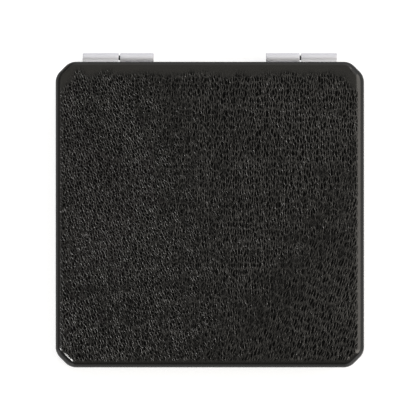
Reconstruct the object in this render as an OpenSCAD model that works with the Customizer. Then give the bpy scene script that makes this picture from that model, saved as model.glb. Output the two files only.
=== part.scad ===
// Square folding pocket mirror: two leather-covered halves on a pair of small back hinges.
// Each half is a plastic tray with padding and leather outside and a framed mirror inside.
// Origin: centre of the underside of the lower half. +X right, +Y to the hinges, +Z up.
// Everything is drawn closed, in millimetres.

/* [Case] */
// Width of the closed case, side to side
case_w = 65; // [50:0.5:90]
// Depth of the case, front to back, without the hinges
case_d = 64.4; // [50:0.4:90]
// Length that each 45 degree corner takes off both of its sides
corner_cut = 3.2; // [2:0.1:4.3]
// Radius that blends each corner cut into the sides
corner_r = 2.4; // [2.1:0.1:3]
// Gap between the two halves when they are closed
parting_gap = 0.2; // [0.1:0.05:0.4]
// Gap left for glue between pieces that nest in each other
fit_gap = 0.05; // [0.02:0.01:0.1]

/* [Leather] */
// Thickness of the leather
leather_t = 0.7; // [0.5:0.05:0.9]
// Outer radius of the leather where it folds from the face to the side
leather_edge_r = 1.3; // [1:0.1:1.6]
// Thickness of the foam padding under the leather
padding_t = 0.4; // [0.2:0.1:1]

/* [Tray] */
// Thickness of the tray's floor
tray_floor_t = 0.7; // [0.5:0.1:1.5]
// Thickness of the tray's wall
tray_wall_t = 1.2; // [1:0.05:1.3]
// Step around the tray's underside that clears the folded leather
tray_step = 0.4; // [0.3:0.05:0.6]

/* [Mirrors] */
// Thickness of the glass at its rim
glass_t = 1.6; // [1.2:0.1:2.5]
// Length that each 45 degree corner takes off both sides of the glass
glass_cut = 7.3; // [6.5:0.1:10]
// Radius at the corners of the glass
glass_corner_r = 1.5; // [1.1:0.1:2.5]
// Depth of the magnifying mirror's dish at the corners of the glass
dish_depth = 0.7; // [0.3:0.05:1]
// Thickness of the adhesive foam behind the glass
tape_t = 0.3; // [0.2:0.05:0.8]
// Distance from the edge of the glass to the edge of the adhesive foam
tape_inset = 0.6; // [0.2:0.1:1]
// Gap between the glass and the frame that holds it
glass_gap = 0.2; // [0.1:0.05:0.5]

/* [Mirror frame] */
// Thickness of the frame's flange
flange_t = 0.5; // [0.4:0.05:0.8]
// Distance from the side of the case to the edge of the flange
flange_inset = 0.8; // [0.7:0.05:1.2]
// Width of the ring that fits between the tray and the glass
ring_w = 1.15; // [0.8:0.05:2]
// Overlap of the flange over the glass
flange_lip = 1.4; // [0.8:0.1:3]
// Bevel on the flange around the mirror
window_bevel = 0.3; // [0.1:0.05:0.35]
// Bevel on the outer edge of the flange
flange_bevel = 0.15; // [0.1:0.05:0.3]

/* [Magnets] */
// Radius of the closing magnets and of their steel discs
magnet_r = 1.5; // [1:0.1:1.8]
// Thickness of the closing magnets
magnet_t = 1.5; // [1:0.1:2]
// Thickness of the steel discs that the magnets hold
strike_t = 0.8; // [0.5:0.1:2]

/* [Hinges] */
// Length of each hinge
hinge_len = 15; // [10:0.5:18]
// Distance from the side of the case to the outer end of the hinge
hinge_edge = 5.65; // [4.8:0.05:6.5]
// Distance from the back of the case to the hinge axis
hinge_setback = 0.9; // [0.75:0.05:1.3]
// Length of the outer knuckle, which belongs to the lid
outer_knuckle_len = 7.6; // [5:0.1:9]
// Slit between the two knuckles
knuckle_slit = 0.3; // [0.15:0.05:0.6]
// Chamfer on the ends of the knuckles
knuckle_chamfer = 0.12; // [0.05:0.01:0.2]
// Radial wrap of the knuckle below its leaf
knuckle_wrap = 0.05; // [0.03:0.01:0.15]
// Thickness of the hinge leaf
leaf_t = 0.35; // [0.25:0.05:0.5]
// Distance from the side of the case to the leaf's free edge beside the other leaf's knuckle
leaf_relief = 0.3; // [0.2:0.05:0.6]
// Gap around the leaf where the leather is cut away
leaf_notch_gap = 0.15; // [0.1:0.05:0.4]
// Radius of the hinge pin
pin_r = 0.5; // [0.3:0.05:0.6]
// Radial running clearance between the pin and the lid's knuckle
pin_clearance = 0.03; // [0.02:0.01:0.08]
// Depth that the pin's ends lie inside the knuckles
pin_recess = 0.1; // [0.05:0.05:0.5]

/* [Rivets] */
// Radius of the rivets that hold the leaves to the tray
rivet_r = 0.35; // [0.25:0.05:0.4]
// Radius of the rivets' countersunk heads
rivet_head_r = 0.6; // [0.5:0.05:0.7]
// Height of the rivets' countersunk heads
rivet_head_h = 0.2; // [0.1:0.05:0.25]
// Whole length of the rivets
rivet_len = 1.7; // [1.2:0.1:2.2]
// Distance from the ends of the leaf to its rivets
rivet_edge = 2; // [1:0.1:4]
// Radial clearance around the rivets
rivet_clearance = 0.02; // [0.01:0.01:0.05]

/* [Hidden] */
$fn = 96;

// Colours of the finishes
leather_colour = "#262626";
foam_colour = "#4a4a4a";
plastic_colour = "#141414";
mirror_colour = "#c9d3d8";
hinge_colour = "#c6c9d1";
steel_colour = "#a9abb0";

// Overrun of a cut past the surface that it opens
overrun = 0.2;
// Angle that each of the eight rounded corners turns through
corner_turn = 45;
corner_count = 8;
// Steps across the dish of the magnifying mirror
dish_steps = 16;
// Facets around the rounded corners of the leather
leather_fn = 32;

// Heights of the layers in the lower half, from the underside up
padding_z = leather_t;
tray_z = padding_z + padding_t;
tape_z = tray_z + tray_floor_t;
glass_z = tape_z + tape_t;
flange_z = glass_z + glass_t + glass_gap;
half_h = flange_z + flange_t;
rim_z = flange_z - leather_t;
leaf_z = flange_z - leaf_t;
hinge_z = half_h + parting_gap / 2;

// Distances from the side of the case to the pieces that nest in it
padding_inset = leather_edge_r + fit_gap;
tray_inset = leather_t + fit_gap;
tray_inner_inset = tray_inset + tray_wall_t;
lip_inset = tray_inner_inset - fit_gap;
ring_inset = tray_inner_inset + fit_gap;
glass_inset = ring_inset + ring_w + fit_gap;
// Inner radius of the leather where it turns in under the frame, which clears the tray's corner
leather_fold_r = fit_gap;

// Sizes of the glass, and the distance from its centre to its farthest corner
glass_w = case_w - 2 * glass_inset;
glass_d = case_d - 2 * glass_inset;
glass_reach = max(
    norm([glass_w / 2, glass_d / 2 - glass_cut]),
    norm([glass_w / 2 - glass_cut, glass_d / 2])
);

// Sizes of the window over the glass
window_w = glass_w - 2 * flange_lip;
window_d = glass_d - 2 * flange_lip;
window_cut = inset_cut(glass_cut, flange_lip);

// Hinge places
hinge_y = case_d / 2 + hinge_setback;
hinge_x0 = case_w / 2 - hinge_edge - hinge_len;
inner_knuckle_len = hinge_len - knuckle_slit - outer_knuckle_len;
knuckle_r = hinge_z - leaf_z + knuckle_wrap;
rivet_y = case_d / 2 - tray_inset - tray_wall_t / 2;

// Length that a 45 degree cut loses when its outline moves inwards by the given distance
function inset_cut(cut, inset) = cut - inset * (2 - sqrt(2));

// Centres of the eight corner arcs of an outline, counter-clockwise from the right side.
// An arc of radius r is tangent to the side and to the cut when its centre lies r inside both.
function corner_centres(w, d, cut, r) =
    let (
        x = w / 2,
        y = d / 2,
        t = r * tan(corner_turn / 2),
        low = [x - r, y - cut - t],
        high = [x - cut - t, y - r]
    )
    [
        low, high,
        [-high.x, high.y], [-low.x, low.y],
        -low, -high,
        [high.x, -high.y], [low.x, -low.y]
    ];

// Point on the corner arc number i that faces the given angle
function arc_point(centres, i, r, angle) = centres[i] + r * [cos(angle), sin(angle)];

// Middle of an outline's corner cut, on the right at the front
function cut_middle(w, d, cut) = [(w - cut) / 2, -(d - cut) / 2];

// Height of the dish at a distance from the centre, above its lowest point
function dish_rise(x) = dish_depth * pow(x / glass_reach, 2);

case_centres = corner_centres(case_w, case_d, corner_cut, corner_r);
magnet_place = (
    cut_middle(case_w - 2 * ring_inset, case_d - 2 * ring_inset, inset_cut(corner_cut, ring_inset))
    + cut_middle(glass_w, glass_d, glass_cut)
) / 2;

// Rectangle with four 45 degree corners, each blended into the sides by two arcs
module cut_corner_outline(w, d, cut, r) {
    centres = corner_centres(w, d, cut, r);
    polygon([
        for (i = [0 : corner_count - 1], end = [0, 1])
            arc_point(centres, i, r, corner_turn * (i + end))
    ]);
    for (centre = centres) {
        translate(centre) circle(r);
    }
}

// Outline of the case, moved inwards
module case_outline(inset) {
    cut_corner_outline(
        case_w - 2 * inset, case_d - 2 * inset, inset_cut(corner_cut, inset), corner_r - inset
    );
}

// Outline of the glass, moved outwards by a gap or inwards by a negative one
module glass_outline(gap) {
    cut_corner_outline(
        glass_w + 2 * gap, glass_d + 2 * gap, inset_cut(glass_cut, -gap), glass_corner_r + gap
    );
}

// Carries a section around an outline with cut corners. In the section, X is the distance
// outwards from the outline and Y is the height.
module sweep_around(centres, r) {
    for (i = [0 : corner_count - 1]) {
        side = norm(centres[i] - centres[(i + corner_count - 1) % corner_count]);
        translate(centres[i]) rotate([0, 0, corner_turn * i]) {
            rotate_extrude(angle = corner_turn) translate([r, 0]) children();
            rotate([90, 0, 0]) linear_extrude(side) translate([r, 0]) children();
        }
    }
}

// Section of what a bevel takes off an upper edge at the origin, with the solid on the -X side
module bevel_section(size) {
    polygon([
        [overrun, overrun],
        [overrun, -size - overrun],
        [-size - overrun, overrun]
    ]);
}

// Strip of the given reach whose upper right corner is a quarter disc as high as the strip
module rounded_strip(reach, r) {
    square([reach - r, r]);
    translate([reach - r, 0]) intersection() {
        circle(r);
        square(r);
    }
}

// Round disc whose lower and upper edges are rounded
module rounded_disc(reach, low, high, low_r, high_r) {
    rotate_extrude() {
        translate([0, low + low_r]) mirror([0, 1]) rounded_strip(reach, low_r);
        translate([0, low + low_r]) square([reach, high - low - low_r - high_r]);
        translate([0, high - high_r]) rounded_strip(reach, high_r);
    }
}

// Block with the outline of the case, moved inwards, whose lower and upper edges are rounded
module rounded_block(inset, low, high, low_r, high_r) {
    hull() {
        for (centre = case_centres) {
            translate(centre)
                rounded_disc(corner_r - inset, low, high, low_r, high_r, $fn = leather_fn);
        }
    }
}

// Prism with the outline of the case, moved inwards
module case_prism(inset, low, high) {
    translate([0, 0, low]) linear_extrude(high - low) case_outline(inset);
}

// Repeats a piece on the left and on the right
module both_sides() {
    children();
    mirror([1, 0, 0]) children();
}

// Turns a piece of the lower half into its twin in the lid
module upside_down() {
    translate([0, 0, 2 * hinge_z]) mirror([0, 0, 1]) children();
}

// Box over the whole length of the right hinge, grown by a gap at each end
module hinge_span_box(gap, y0, y1, z0, z1) {
    translate([hinge_x0 - gap, y0, z0]) cube([hinge_len + 2 * gap, y1 - y0, z1 - z0]);
}

// Repeats a piece at the two rivets of the right hinge
module rivet_places() {
    for (x = [hinge_x0 + rivet_edge, hinge_x0 + hinge_len - rivet_edge]) {
        translate([x, rivet_y, flange_z]) children();
    }
}

// Countersunk rivet, head up, with the top of its head at height 0
module rivet_body(clearance, depth) {
    rotate_extrude() polygon([
        [0, 0],
        [rivet_head_r + clearance, 0],
        [rivet_r + clearance, -rivet_head_h],
        [rivet_r + clearance, -depth],
        [0, -depth]
    ]);
}

// The leather is a hollow rounded block, opened upwards inside its turned-in lip
module leather_cover() {
    color(leather_colour) difference() {
        rounded_block(0, 0, flange_z, leather_edge_r, leather_t + leather_fold_r);
        rounded_block(leather_t, leather_t, rim_z, leather_edge_r - leather_t, leather_fold_r);
        case_prism(lip_inset, rim_z - leather_fold_r - overrun, flange_z + overrun);
        both_sides() hinge_span_box(
            leaf_notch_gap,
            case_d / 2 - lip_inset - overrun, case_d / 2 + overrun,
            rim_z - leather_fold_r, flange_z + overrun
        );
    }
}

// Foam between the leather and the tray
module padding() {
    color(foam_colour) case_prism(padding_inset, padding_z, tray_z);
}

// The tray carries everything: a floor, a wall, and two pads on the wall for the hinge leaves
module tray() {
    color(plastic_colour) difference() {
        union() {
            case_prism(tray_inset + tray_step, tray_z, tape_z);
            case_prism(tray_inset, tray_z + tray_step, rim_z);
            both_sides() hinge_span_box(
                0, case_d / 2 - tray_inner_inset, case_d / 2 - tray_inset, tape_z, leaf_z
            );
        }
        case_prism(tray_inner_inset, tape_z, rim_z + overrun);
        both_sides() rivet_places() rivet_body(rivet_clearance, rivet_len + rivet_clearance);
    }
}

// Outline of the window over the glass
module window_outline() {
    cut_corner_outline(window_w, window_d, window_cut, glass_corner_r);
}

// Closes over the glass: a flange with a bevelled window, and a ring that drops into the tray
module mirror_frame(insert_t) {
    window_centres = corner_centres(window_w, window_d, window_cut, glass_corner_r);
    color(plastic_colour) difference() {
        union() {
            case_prism(flange_inset, flange_z, half_h);
            case_prism(ring_inset, tape_z, flange_z);
        }
        translate([0, 0, tape_z - overrun]) linear_extrude(flange_z - tape_z + overrun)
            glass_outline(fit_gap);
        translate([0, 0, flange_z - overrun]) linear_extrude(flange_t + 2 * overrun)
            window_outline();
        sweep_around(case_centres, corner_r) translate([-flange_inset, half_h])
            bevel_section(flange_bevel);
        sweep_around(window_centres, glass_corner_r) translate([0, half_h]) mirror([1, 0])
            bevel_section(window_bevel);
        at_front_corners(insert_t + fit_gap)
            cylinder(h = insert_t + fit_gap + overrun, r = magnet_r + fit_gap);
    }
}

// Repeats a piece in the two front corners of the frame, at a depth below its face
module at_front_corners(depth) {
    both_sides() translate([magnet_place.x, magnet_place.y, half_h - depth]) children();
}

// Round inserts in the front corners of the frame, flush with its face
module corner_inserts(thickness) {
    color(steel_colour) at_front_corners(thickness) cylinder(h = thickness, r = magnet_r);
}

// Adhesive foam under the glass
module mirror_tape() {
    color(foam_colour) translate([0, 0, tape_z]) linear_extrude(tape_t)
        glass_outline(-tape_inset);
}

// Flat plate of silvered glass
module flat_mirror() {
    color(mirror_colour) translate([0, 0, glass_z]) linear_extrude(glass_t) glass_outline(0);
}

// The magnifying mirror is dished: its face is a shallow paraboloid, deepest in the middle
module dished_mirror() {
    step = glass_reach / dish_steps;
    last = dish_steps + 1;
    color(mirror_colour) difference() {
        flat_mirror();
        translate([0, 0, glass_z + glass_t - dish_depth]) rotate_extrude() polygon([
            for (i = [0 : last]) [i * step, dish_rise(i * step)],
            [last * step, dish_rise(last * step) + overrun],
            [0, dish_rise(last * step) + overrun]
        ]);
    }
}

// One knuckle along X from x0, before its bore is made
module knuckle(x0, length) {
    translate([x0, hinge_y, hinge_z]) rotate([90, 0, 90]) rotate_extrude() polygon([
        [0, 0],
        [knuckle_r - knuckle_chamfer, 0],
        [knuckle_r, knuckle_chamfer],
        [knuckle_r, length - knuckle_chamfer],
        [knuckle_r - knuckle_chamfer, length],
        [0, length]
    ]);
}

// Leaf of the right hinge: a riveted plate whose tongue rolls into one knuckle around the pin
module hinge_leaf(x0, length, bore_r) {
    plate_y = case_d / 2 - tray_inner_inset;
    color(hinge_colour) difference() {
        union() {
            hinge_span_box(0, plate_y, case_d / 2 - leaf_relief, leaf_z, flange_z);
            translate([x0 + knuckle_chamfer, plate_y, leaf_z])
                cube([length - 2 * knuckle_chamfer, hinge_y - plate_y, leaf_t]);
            knuckle(x0, length);
        }
        translate([x0 - overrun, hinge_y, hinge_z]) rotate([0, 90, 0])
            cylinder(h = length + 2 * overrun, r = bore_r);
        rivet_places() {
            rivet_body(rivet_clearance, leaf_t + overrun);
            cylinder(h = overrun, r = rivet_head_r + rivet_clearance);
        }
    }
}

// The lower half's leaf grips the pin in the inner knuckle
module base_leaf() {
    hinge_leaf(hinge_x0, inner_knuckle_len, pin_r);
}

// The lid's leaf turns on the pin in the outer knuckle
module lid_leaf() {
    upside_down()
        hinge_leaf(hinge_x0 + hinge_len - outer_knuckle_len, outer_knuckle_len, pin_r + pin_clearance);
}

// Pin through both knuckles of the right hinge
module hinge_pin() {
    color(steel_colour) translate([hinge_x0 + pin_recess, hinge_y, hinge_z]) rotate([0, 90, 0])
        cylinder(h = hinge_len - 2 * pin_recess, r = pin_r);
}

// Rivets through both leaves of one half into its tray
module hinge_rivets() {
    color(steel_colour) both_sides() rivet_places() rivet_body(0, rivet_len);
}

module base_leather() { leather_cover(); }
module base_padding() { padding(); }
module base_tray() { tray(); }
module base_frame() { mirror_frame(magnet_t); }
module base_mirror_tape() { mirror_tape(); }
module base_mirror() { dished_mirror(); }
module base_magnets() { corner_inserts(magnet_t); }
module base_hinge_leaf_left() { mirror([1, 0, 0]) base_leaf(); }
module base_hinge_leaf_right() { base_leaf(); }
module base_hinge_rivets() { hinge_rivets(); }
module hinge_pin_left() { mirror([1, 0, 0]) hinge_pin(); }
module hinge_pin_right() { hinge_pin(); }

module lid_leather() { upside_down() leather_cover(); }
module lid_padding() { upside_down() padding(); }
module lid_tray() { upside_down() tray(); }
module lid_frame() { upside_down() mirror_frame(strike_t); }
module lid_mirror_tape() { upside_down() mirror_tape(); }
module lid_mirror() { upside_down() flat_mirror(); }
module lid_strike_discs() { upside_down() corner_inserts(strike_t); }
module lid_hinge_leaf_left() { mirror([1, 0, 0]) lid_leaf(); }
module lid_hinge_leaf_right() { lid_leaf(); }
module lid_hinge_rivets() { upside_down() hinge_rivets(); }

base_leather();
base_padding();
base_tray();
base_frame();
base_mirror_tape();
base_mirror();
base_magnets();
base_hinge_leaf_left();
base_hinge_leaf_right();
base_hinge_rivets();
hinge_pin_left();
hinge_pin_right();
lid_leather();
lid_padding();
lid_tray();
lid_frame();
lid_mirror_tape();
lid_mirror();
lid_strike_discs();
lid_hinge_leaf_left();
lid_hinge_leaf_right();
lid_hinge_rivets();
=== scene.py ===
# %% [markdown]
# # A square pocket mirror in black leather
# The object is a folding mirror of 65 by 64 mm. Two plastic trays are covered in black artificial
# leather and turn on a pair of small hinges. A flat mirror faces a magnifying one inside.
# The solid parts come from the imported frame, and this file dresses them. It works in metres,
# with the same origin as the frame: the middle of the underside, +Y to the hinges, +Z up.
# Shapes are worked out in millimetres, and turned into metres when their mesh is made.

# %% Load the frame
import math

import bmesh
import bpy
import numpy as np
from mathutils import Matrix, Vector


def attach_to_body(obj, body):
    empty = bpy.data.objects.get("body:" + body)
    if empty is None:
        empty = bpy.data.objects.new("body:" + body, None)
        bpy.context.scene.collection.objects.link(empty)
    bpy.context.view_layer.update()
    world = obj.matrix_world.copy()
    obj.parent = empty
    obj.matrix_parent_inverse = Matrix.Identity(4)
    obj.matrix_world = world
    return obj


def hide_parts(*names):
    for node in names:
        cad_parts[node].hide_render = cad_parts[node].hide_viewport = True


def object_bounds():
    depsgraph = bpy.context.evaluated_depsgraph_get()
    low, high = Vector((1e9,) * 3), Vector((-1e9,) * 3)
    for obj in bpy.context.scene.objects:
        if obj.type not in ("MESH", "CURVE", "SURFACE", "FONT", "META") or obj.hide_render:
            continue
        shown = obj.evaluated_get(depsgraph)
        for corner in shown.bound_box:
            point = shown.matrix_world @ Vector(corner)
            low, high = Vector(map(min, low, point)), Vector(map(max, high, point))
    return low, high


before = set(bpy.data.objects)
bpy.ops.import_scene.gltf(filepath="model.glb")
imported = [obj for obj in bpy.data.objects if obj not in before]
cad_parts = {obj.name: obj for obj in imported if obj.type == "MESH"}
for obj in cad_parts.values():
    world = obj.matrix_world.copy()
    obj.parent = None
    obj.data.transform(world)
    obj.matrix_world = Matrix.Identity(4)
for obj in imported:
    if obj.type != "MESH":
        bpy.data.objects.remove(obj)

cad_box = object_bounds()
MM = 0.001
TOTAL_H = round(cad_box[1].z / MM, 3)
print("nodes:", len(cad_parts), "box in mm:", [round((b - a) / MM, 2) for a, b in zip(*cad_box)])

# %% [markdown]
# ## The camera
# The photograph looks straight down on the closed lid and shows almost no perspective. An
# orthographic camera could do that too, but a long lens also keeps its framing when the same
# camera is carried round the object. The lens sees `VIEW_WIDTH` at the height of the lid.

# %% Camera
VIEW_WIDTH = 88.38 * MM
AIM_X, AIM_Y = 0.03 * MM, 0.98 * MM
LENS = 600.0
SENSOR = 36.0
CLIP_NEAR, CLIP_FAR = 0.1, 10.0

camera_data = bpy.data.cameras.new("camera")
camera_data.lens = LENS
camera_data.sensor_width = SENSOR
camera_data.clip_start = CLIP_NEAR
camera_data.clip_end = CLIP_FAR
camera = bpy.data.objects.new("camera", camera_data)
camera.location = (AIM_X, AIM_Y, cad_box[1].z + VIEW_WIDTH * LENS / SENSOR)
bpy.context.scene.collection.objects.link(camera)
bpy.context.scene.camera = camera
print("camera height in mm:", round(camera.location.z / MM))

# %% [markdown]
# ## The outline
# Leather, mirrors and frames share one kind of outline: a square whose corners are cut at 45
# degrees and blended with small arcs. Lines that run round the case are parallels of it. So an
# outline is kept as a skeleton, the centres of its arcs with a direction that points outwards
# at each place, and a parallel is the centre plus the direction times a distance. One skeleton
# serves the rolled edge, the side and the lip, and their points stay in line with each other.

# %% Skeleton of an outline
EIGHTH_TURN = 45.0


def skeleton_knots(w, d, cut, r):
    """Corners of the path once round, from the middle of the back right cut, counter-clockwise.

    An arc keeps its centre while the direction turns by 45 degrees, and a straight keeps its
    direction while the centre moves. The columns are centre x, centre y and angle in degrees.
    """
    reach = r * math.tan(math.radians(EIGHTH_TURN / 2))
    low = np.array([w / 2 - r, d / 2 - cut - reach])
    high = np.array([w / 2 - cut - reach, d / 2 - r])
    flip = np.array([-1, 1])
    arcs = np.array([low, high, high * flip, low * flip, -low, -high, -high * flip, -low * flip])
    turns = np.arange(1, 9)
    starts = np.column_stack([arcs[turns % 8], EIGHTH_TURN * turns])
    ends = np.column_stack([arcs[turns % 8], EIGHTH_TURN * (turns + 1)])
    middle = (low + high) / 2
    inner = np.stack([starts, ends], axis=1).reshape(-1, 3)
    return np.vstack([[*middle, EIGHTH_TURN], inner, [*middle, 9 * EIGHTH_TURN]])


def loop_skeleton(shape, count, anchors=()):
    """Centres and outward directions at 4 * count places, equally spaced along the outline.

    Arc length runs through the knots, and each of the four runs between the middles of the
    cuts has `count` equal steps. `anchors` are pairs of x on the back run: two neighbouring
    places are moved onto each pair, and those between them share the rest out evenly.
    """
    knots = skeleton_knots(**shape)
    turning = shape["r"] * np.radians(np.diff(knots[:, 2]))
    step = np.hypot(*np.diff(knots[:, :2], axis=0).T) + turning
    along = np.concatenate([[0.0], np.cumsum(step)])
    before_cut = np.array([4, 8, 12])
    cuts = [along[0], *(along[before_cut] + along[before_cut + 1]) / 2, along[-1]]
    s = np.concatenate([np.linspace(a, b, count, endpoint=False) for a, b in zip(cuts, cuts[1:])])
    if anchors:
        pairs = along[2] + knots[2, 0] - np.array(anchors)
        first = np.round(pairs.mean(axis=1) / cuts[1] * count - 0.5)
        index = np.concatenate([[0], np.column_stack([first, first + 1]).ravel(), [count]])
        value = np.concatenate([[0.0], pairs.ravel(), [cuts[1]]])
        s[:count] = np.interp(np.arange(count), index, value)
    centre = np.stack([np.interp(s, along, knots[:, i]) for i in (0, 1)], axis=1)
    angle = np.radians(np.interp(s, along, knots[:, 2]))
    return centre, np.stack([np.cos(angle), np.sin(angle)], axis=1)


CASE = {"w": 65.0, "d": 64.4, "cut": 3.0, "r": 3.1}
centre, direction = loop_skeleton(CASE, 4)
print("outline in mm:", np.ptp(centre + CASE["r"] * direction, axis=0).round(2))

# %% [markdown]
# ## From arrays to meshes
# Each new piece is worked out as whole numpy arrays, and then handed to Blender in one go. A
# Python loop over a hundred thousand points would take minutes, and an array takes a moment.
# Smooth shading hides the small faces, except at edges that turn by more than a given angle.

# %% A mesh from arrays
def add_piece(name, points, quads, sharp, caps=()):
    """A smooth-shaded mesh from points in mm, rows of four corners, and optional end polygons.

    Edges that turn by more than `sharp` degrees stay crisp.
    """
    mesh = bpy.data.meshes.new(name)
    loops = np.concatenate([quads.ravel(), *caps]).astype(np.int32)
    sizes = np.concatenate([np.full(len(quads), 4), [len(c) for c in caps]]).astype(np.int32)
    starts = np.concatenate([[0], np.cumsum(sizes)[:-1]]).astype(np.int32)
    mesh.vertices.add(len(points))
    mesh.vertices.foreach_set("co", (points * MM).astype(np.float32).ravel())
    mesh.loops.add(len(loops))
    mesh.loops.foreach_set("vertex_index", loops)
    mesh.polygons.add(len(sizes))
    mesh.polygons.foreach_set("loop_start", starts)
    mesh.update(calc_edges=True)
    mesh.validate()
    mesh.shade_smooth()
    mesh.set_sharp_from_angle(angle=math.radians(sharp))
    piece = bpy.data.objects.new(name, mesh)
    bpy.context.scene.collection.objects.link(piece)
    print(name, "triangles:", len(mesh.loops) - 2 * len(mesh.polygons))
    return piece


# %% [markdown]
# ## Patch and rings
# A cover and a mirror are both a flat face with something going on at its edge. The face could
# be one big polygon, but a padded or dished face needs points inside. Here it is a patch of
# four-cornered faces that fills the first line of the outline, and the edge is a row of rings
# that start from the same points, so nothing has to be stitched.

# %% Patch and rings
def patch_inside(loop):
    """Grid that fills a closed loop of 4n points: each line blends between opposite sides.

    The blend across plus the blend along, less the blend of the four corners, meets all four
    sides exactly. Rows run from the back to the front, and columns from the right to the left.
    """
    n = len(loop) // 4
    ring = np.vstack([loop, loop[:1]])
    back, left = ring[: n + 1], ring[n : 2 * n + 1]
    front, right = ring[2 * n : 3 * n + 1][::-1], ring[3 * n :][::-1]
    u, v = np.linspace(0, 1, n + 1)[:, None, None], np.linspace(0, 1, n + 1)[None, :, None]
    across = (1 - v) * back[:, None] + v * front[:, None]
    along = (1 - u) * right[None] + u * left[None]
    corners = (1 - u) * ((1 - v) * back[0] + v * front[0]) + u * ((1 - v) * back[-1] + v * front[-1])
    return across + along - corners


def shell_faces(n, rings, inside_first):
    """Corner numbers of a patch inside a loop of 4n points and of the rings that follow it.

    The loop's rings are numbered first, and the points inside the patch from `inside_first`.
    The second result is the last ring, turned round so that it can close the shell as a cap.
    """
    grid = np.zeros((n + 1, n + 1), np.int64)
    grid[1:-1, 1:-1] = inside_first + np.arange((n - 1) ** 2).reshape(n - 1, n - 1)
    step = np.arange(n + 1)
    grid[:, 0] = step
    grid[-1, :] = n + step
    grid[:, -1] = 3 * n - step
    grid[0, :] = (4 * n - step) % (4 * n)
    corners = [grid[:-1, :-1], grid[1:, :-1], grid[1:, 1:], grid[:-1, 1:]]
    k = np.arange(4 * n)
    near = np.arange(rings - 1)[:, None] * 4 * n
    far = near + 4 * n
    after = (k + 1) % (4 * n)
    sides = [near + k, far + k, far + after, near + after]
    faces = [np.stack(group, axis=-1).reshape(-1, 4) for group in (corners, sides)]
    return np.vstack(faces), (rings - 1) * 4 * n + k[::-1]


print("patch inside a loop of 16:", patch_inside(centre + CASE["r"] * direction).shape)

# %% [markdown]
# ## The swell of the leather
# Artificial leather gets its grain from an engraved roller. There are two sizes of it: pits of
# half a millimetre, and a slow swell of about one millimetre that they ride on. The pits are
# finer than the mesh, so the material draws them further down. The swell is real relief. White
# noise is passed through a filter that keeps one wavelength, and a filter that is narrower
# along than across draws the swell out into wrinkles.

# %% Noise of one wavelength
SHEET = 84.0
SHEET_POINTS = 840
rng = np.random.default_rng(11)


def filtered_noise(wavelength, spread, angle=0.0, stretch=1.0):
    """Noise with one wavelength in mm, drawn out `stretch` times along a direction in degrees.

    White noise goes to frequencies and back. In between, each is weighed by a bell curve over
    how far it lies from the wanted one, and `spread` is the width of that curve.
    """
    white = rng.standard_normal((SHEET_POINTS, SHEET_POINTS))
    fx = np.fft.fftfreq(SHEET_POINTS, SHEET / SHEET_POINTS)[None, :]
    fy = np.fft.fftfreq(SHEET_POINTS, SHEET / SHEET_POINTS)[:, None]
    c, s = math.cos(math.radians(angle)), math.sin(math.radians(angle))
    lengthwise, crosswise = (fx * c + fy * s) * stretch, fy * c - fx * s
    pitch = np.hypot(lengthwise, crosswise) * wavelength
    field = np.real(np.fft.ifft2(np.fft.fft2(white) * np.exp(-(((pitch - 1) / spread) ** 2))))
    return field / field.std()


def smooth_step(value, low, high):
    """0 up to `low`, 1 from `high` on, and 3 t squared less 2 t cubed in between."""
    t = np.clip((value - low) / (high - low), 0, 1)
    return t * t * (3 - 2 * t)


def sample(field, x, y):
    """Value of the sheet at x and y in mm, from the four points round each place."""
    gx = (x / SHEET + 0.5) * SHEET_POINTS
    gy = (y / SHEET + 0.5) * SHEET_POINTS
    ix, iy = np.floor(gx).astype(int), np.floor(gy).astype(int)
    tx, ty = gx - ix, gy - iy
    ix, iy = ix % SHEET_POINTS, iy % SHEET_POINTS
    jx, jy = (ix + 1) % SHEET_POINTS, (iy + 1) % SHEET_POINTS
    near = field[iy, ix] * (1 - tx) + field[iy, jx] * tx
    far = field[jy, ix] * (1 - tx) + field[jy, jx] * tx
    return near * (1 - ty) + far * ty


PATCH_WAVE, PATCH_SPREAD = 5.0, 0.5
patches = filtered_noise(PATCH_WAVE, PATCH_SPREAD)
print("slow patches: from", patches.min().round(2), "to", patches.max().round(2))

# %% [markdown]
# ## How the grain runs
# The grain changes over the lid, because leather is stretched as it is engraved and laid. It
# is round at the back left, upright to the right, leans right at the front right corner and
# left at the front left one. Each kind is a share between 0 and 1 across a sloping border, and
# the slow noise frays the borders. Both the relief and the material are mixed by these shares.

# %% Shares of the grain
# Of each border the slope, and where the share starts and ends. Of each swell the wavelength,
# the spread of the filter, the direction in degrees and the stretch.
FRAY = 4.5
BORDERS = {"right": (-0.75, 20, 34), "left": (-0.9, 30, 44), "upright": (0.2, -12, 4)}
SWELLS = {
    "round": (1.2, 0.4),
    "upright": (1.1, 0.4, 90, 2.0),
    "right": (1.2, 0.35, 66, 3.0),
    "left": (1.2, 0.35, 114, 2.2),
}


def past_border(label, x, y, fray):
    """How far places lie past a border that slopes by its first number, from 0 to 1."""
    slope, start, stop = BORDERS[label]
    return smooth_step(x + slope * y + fray, start, stop)


def grain_shares(x, y):
    """Shares of upright, right-leaning and left-leaning grain at places in mm."""
    fray = FRAY * sample(patches, x, y)
    right = past_border("right", x, y, fray)
    left = past_border("left", -x, y, -fray) * (1 - right)
    upright = past_border("upright", x, y, -fray) * (1 - right) * (1 - left)
    return {"upright": upright, "right": right, "left": left}


def swell_sheet():
    """Relief from 0 in the hollows to 1 on the swell: noises times their shares, softly limited."""
    axis = (np.arange(SHEET_POINTS) / SHEET_POINTS - 0.5) * SHEET
    shares = grain_shares(axis[None, :], axis[:, None])
    shares["round"] = 1 - shares["upright"] - shares["right"] - shares["left"]
    field = sum(filtered_noise(*numbers) * shares[label] for label, numbers in SWELLS.items())
    return 0.5 + 0.5 * np.tanh(field)


swell = swell_sheet()
print("swell: mean", swell.mean().round(3), "spread", swell.std().round(3))

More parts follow.
